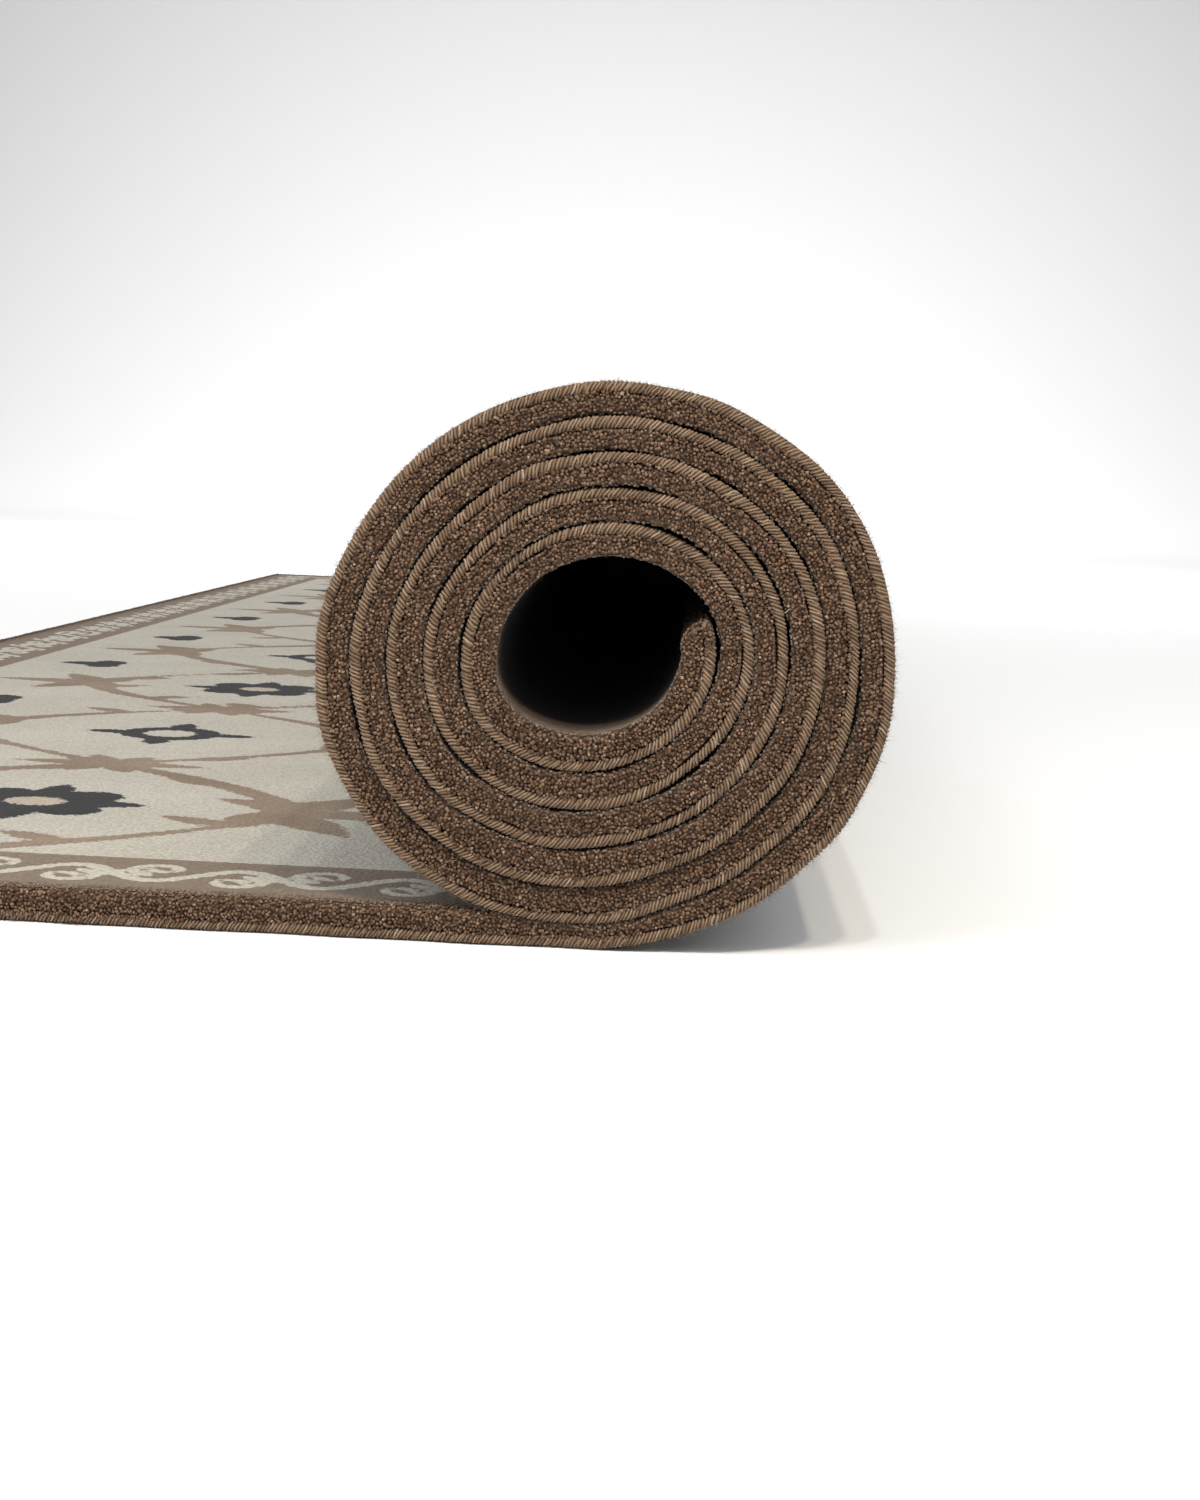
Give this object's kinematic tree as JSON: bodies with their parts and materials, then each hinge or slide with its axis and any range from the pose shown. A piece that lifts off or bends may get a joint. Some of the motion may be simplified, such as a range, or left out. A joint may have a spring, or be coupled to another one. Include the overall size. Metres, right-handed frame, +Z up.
{
  "type": "rolled up carpet",
  "caption": "Tufted wool carpet with a bound edge, rolled up pile inwards from a short end, with the other end lying flat on the floor beside the roll.",
  "frame": {"origin": "on the floor, at the middle of the box that holds the carpet", "axes": "+Y along the roll from its near end to its far end, +X from the flat loose end towards the roll, +Z up"},
  "size_m": [0.7004, 2.4432, 0.2216],
  "materials": {
    "wool_pile": "cut wool pile, matt",
    "edge_yarn": "overcast wool yarn, matt",
    "backing_cloth": "woven cotton cloth, matt"
  },
  "bodies": {
    "root": {"tufted_pile": "wool_pile", "backing_cloth": "backing_cloth", "side_binding_near": "edge_yarn", "side_binding_far": "edge_yarn", "end_binding_inner": "edge_yarn", "end_binding_outer": "edge_yarn"}
  },
  "joints": []
}
